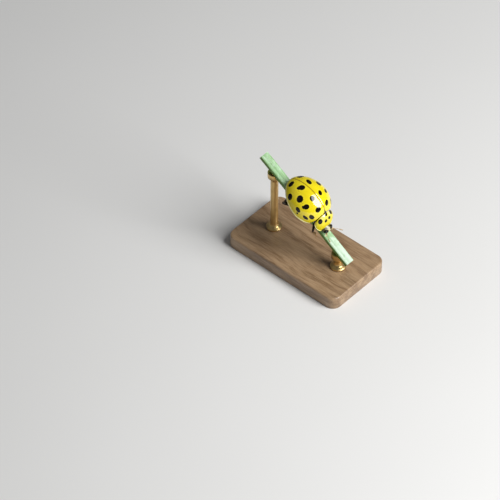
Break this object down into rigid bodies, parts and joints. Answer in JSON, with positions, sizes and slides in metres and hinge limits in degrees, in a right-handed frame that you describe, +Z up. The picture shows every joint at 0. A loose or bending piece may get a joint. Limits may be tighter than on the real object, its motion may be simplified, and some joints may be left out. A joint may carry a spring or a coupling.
{
  "type": "22-spot ladybird model",
  "caption": "Still life-size model of a small domed yellow ladybird with black spots, walking head-down on a cut length of leaf stalk held over a flat wooden base.",
  "frame": {"origin": "middle of the flat underside of the wooden base, on the floor", "axes": "+Z up, out of the top of the base; +X along the long side of the base, the way the ladybird walks and the stalk points down; +Y to the ladybird's left"},
  "size_m": [0.009, 0.005, 0.0069],
  "materials": {
    "wing_case_yellow": "glossy",
    "pronotum_yellow": "glossy",
    "shell_black": "glossy",
    "underside_brown": "satin",
    "head_cream": "satin",
    "eye_black": "glossy",
    "leg_brown": "satin",
    "stalk_green": "satin",
    "base_wood": "oiled",
    "rod_brass": "brushed"
  },
  "bodies": {
    "root": {"elytron_left": "wing_case_yellow", "elytron_right": "wing_case_yellow", "scutellum": "shell_black", "pronotum": "pronotum_yellow", "prothorax": "underside_brown", "thorax": "underside_brown", "abdomen": "underside_brown", "head": "head_cream", "mouthparts": "leg_brown", "eye_left": "eye_black", "eye_right": "eye_black", "antenna_left": "leg_brown", "antenna_right": "leg_brown", "palp_left": "leg_brown", "palp_right": "leg_brown", "leg_front_left_femur": "leg_brown", "leg_front_left_tibia": "leg_brown", "leg_front_left_tarsus": "leg_brown", "leg_front_right_femur": "leg_brown", "leg_front_right_tibia": "leg_brown", "leg_front_right_tarsus": "leg_brown", "leg_middle_left_femur": "leg_brown", "leg_middle_left_tibia": "leg_brown", "leg_middle_left_tarsus": "leg_brown", "leg_middle_right_femur": "leg_brown", "leg_middle_right_tibia": "leg_brown", "leg_middle_right_tarsus": "leg_brown", "leg_hind_left_femur": "leg_brown", "leg_hind_left_tibia": "leg_brown", "leg_hind_left_tarsus": "leg_brown", "leg_hind_right_femur": "leg_brown", "leg_hind_right_tibia": "leg_brown", "leg_hind_right_tarsus": "leg_brown", "perch_stem": "stalk_green", "stand_base": "base_wood", "stand_rod_upper": "rod_brass", "stand_rod_lower": "rod_brass"}
  },
  "joints": []
}
